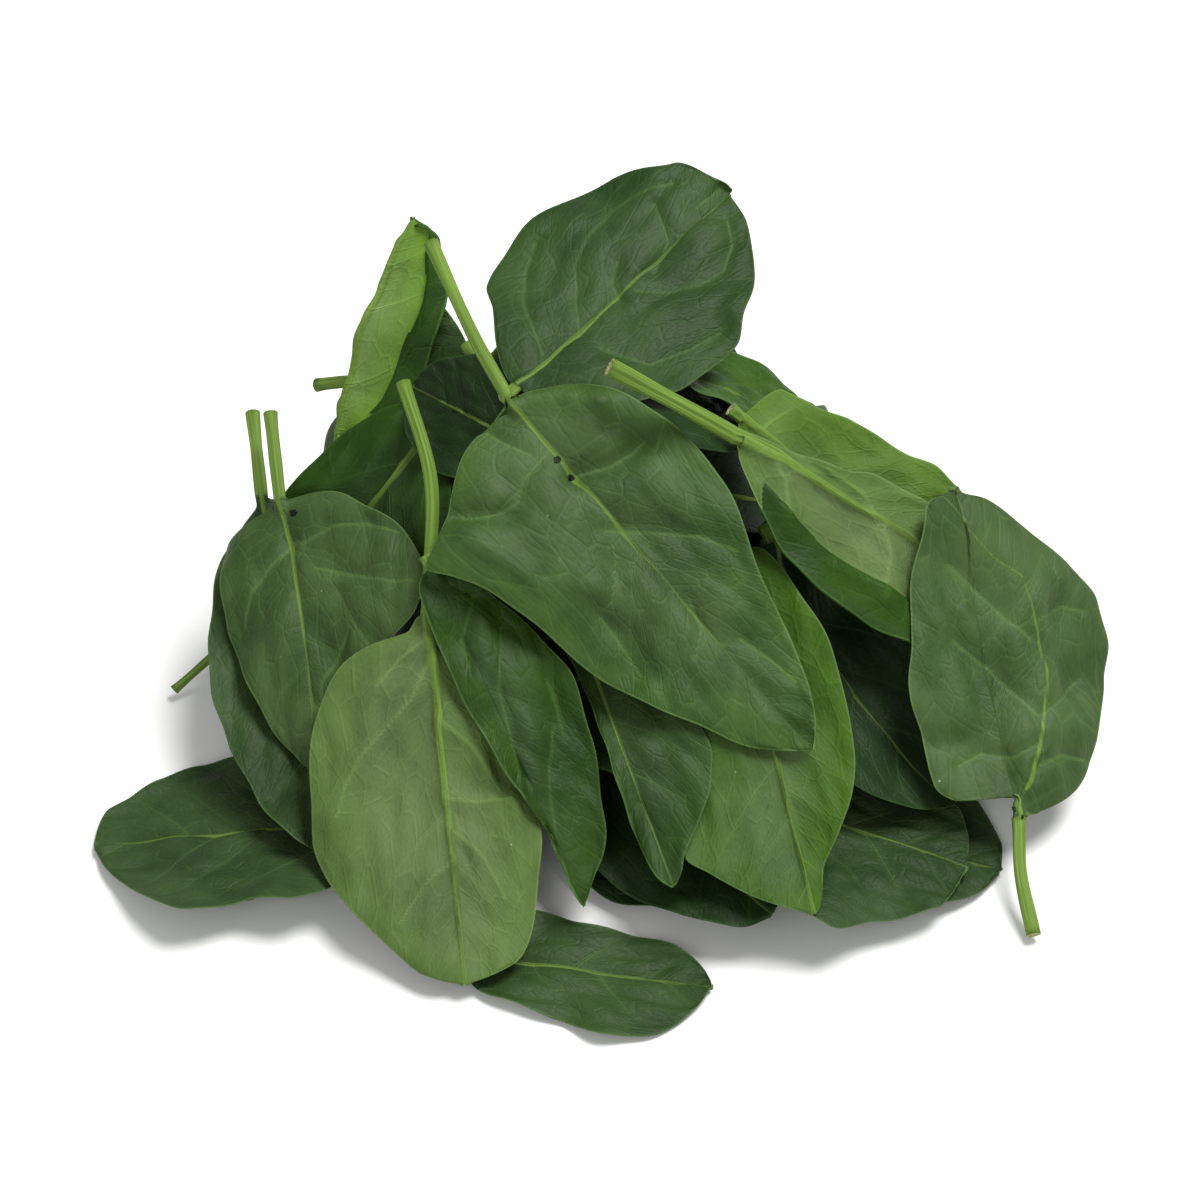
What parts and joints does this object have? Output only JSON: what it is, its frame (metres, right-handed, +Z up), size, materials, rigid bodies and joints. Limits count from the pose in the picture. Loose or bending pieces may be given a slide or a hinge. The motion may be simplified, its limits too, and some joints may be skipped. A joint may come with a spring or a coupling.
{
  "type": "spinach bunch",
  "caption": "Loose heap of fresh baby spinach leaves, each with its cut stalk, lying on a flat surface.",
  "frame": {"origin": "middle of the bounding box at the surface the heap lies on", "axes": "+X to the right as seen from the front, +Y to the back, +Z up"},
  "size_m": [0.2012, 0.191, 0.0821],
  "materials": {
    "leaf_dark": "satin upper side of a fresh leaf, dark green",
    "leaf_pale": "matte underside of a fresh leaf, pale green"
  },
  "bodies": {
    "root": {"core_flat": "leaf_pale", "left_floor_pale": "leaf_pale", "left_floor": "leaf_dark", "front_floor": "leaf_dark", "right_floor_back": "leaf_dark", "right_floor": "leaf_dark", "centre_floor": "leaf_dark", "centre_dark": "leaf_dark", "back_left_floor": "leaf_dark", "back_centre_floor": "leaf_dark", "back_right_floor": "leaf_dark", "core_1": "leaf_dark", "core_2": "leaf_dark", "core_3": "leaf_dark", "core_4": "leaf_dark", "core_5": "leaf_dark", "core_6": "leaf_dark", "core_7": "leaf_dark", "core_8": "leaf_dark", "core_9": "leaf_dark", "core_10": "leaf_dark", "back_left": "leaf_dark", "back_right": "leaf_dark", "back_centre": "leaf_dark", "side_right": "leaf_dark", "side_left": "leaf_dark", "back_right_dark": "leaf_dark", "back_right_vivid": "leaf_dark", "back_stem_leaf": "leaf_dark", "top_back_left": "leaf_pale", "left_stem_leaf": "leaf_dark", "left_lower": "leaf_dark", "right_dark": "leaf_dark", "right_behind": "leaf_pale", "left_pale": "leaf_pale", "left_upper": "leaf_dark", "front_right_pale": "leaf_pale", "front_centre": "leaf_dark", "under_top": "leaf_dark", "top_small": "leaf_dark", "top_back": "leaf_dark", "front_pale": "leaf_pale", "front_folded": "leaf_dark", "top_front": "leaf_dark", "right_stalked": "leaf_pale", "right_hanging": "leaf_dark"}
  },
  "joints": []
}
